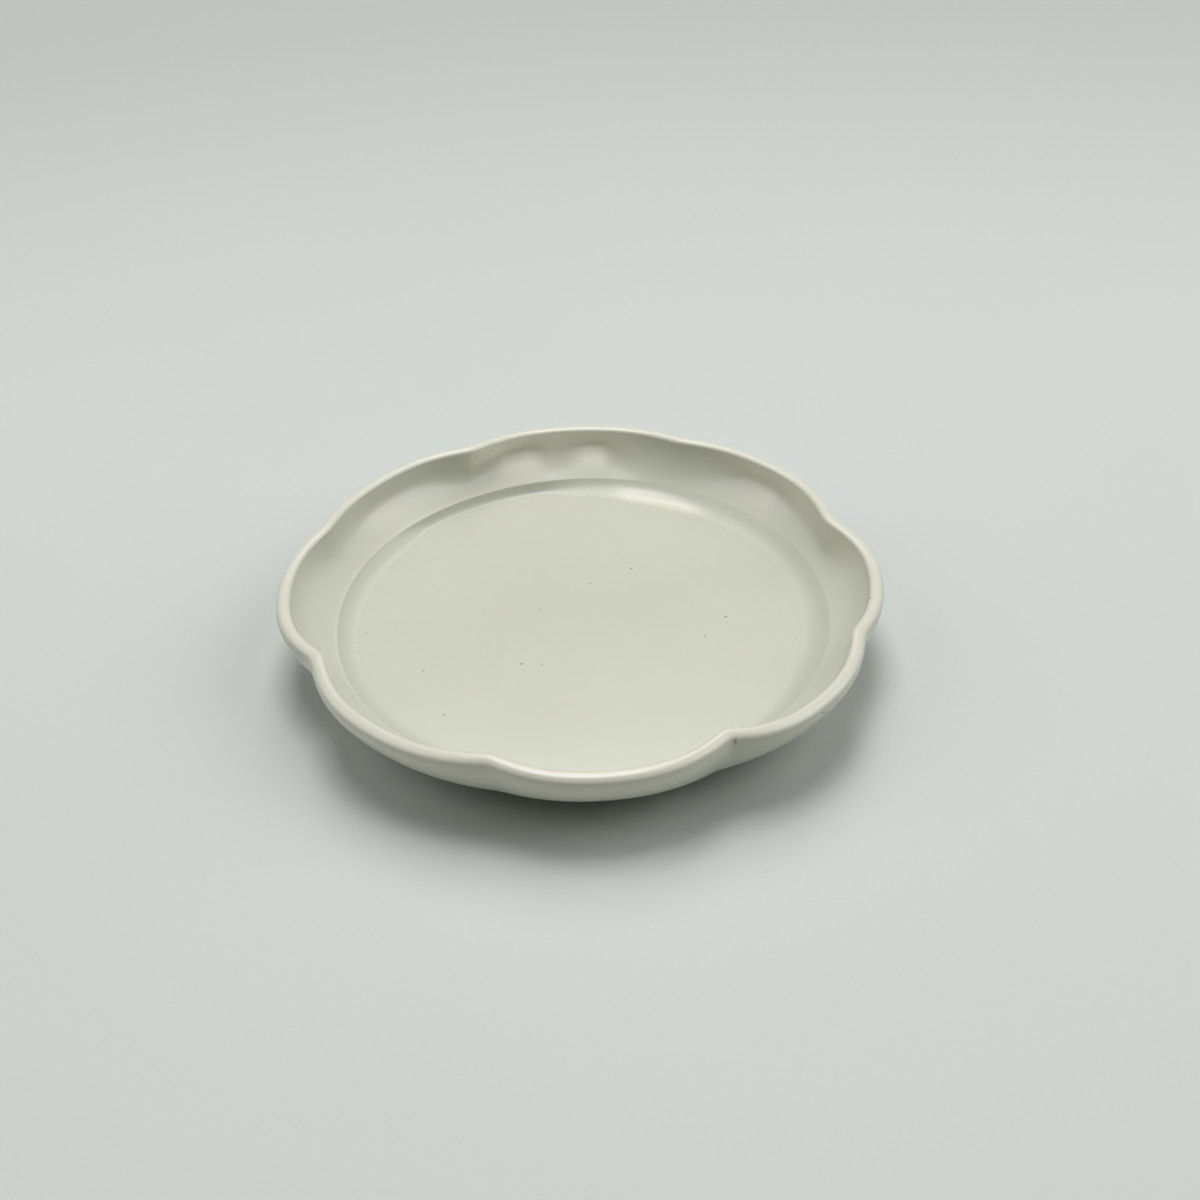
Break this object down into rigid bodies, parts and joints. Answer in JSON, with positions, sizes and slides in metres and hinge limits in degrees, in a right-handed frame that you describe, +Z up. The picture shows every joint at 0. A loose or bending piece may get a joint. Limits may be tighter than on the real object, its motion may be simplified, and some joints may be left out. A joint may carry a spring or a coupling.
{
  "type": "scalloped dessert plate",
  "caption": "Small round ceramic plate with a hand-pinched scalloped rim, low stepped floor, sloping wall and raised foot ring under an off-white satin glaze.",
  "frame": {"origin": "centre of the foot ring, on the table plane it stands on", "axes": "+Z up along the plate's axis; -Y is the side towards the camera in the picture, +X its right"},
  "size_m": [0.1306, 0.1291, 0.0202],
  "materials": {
    "fired_clay": "dense fired clay body, hidden under the glaze",
    "bare_clay": "bare fired clay, slightly rough",
    "satin_glaze": "off-white satin glaze with a few iron specks",
    "recess_glaze": "off-white satin glaze"
  },
  "bodies": {
    "root": {"plate_body": "fired_clay", "foot_ring": "bare_clay", "glaze_coat": "satin_glaze", "recess_glaze": "recess_glaze"}
  },
  "joints": []
}
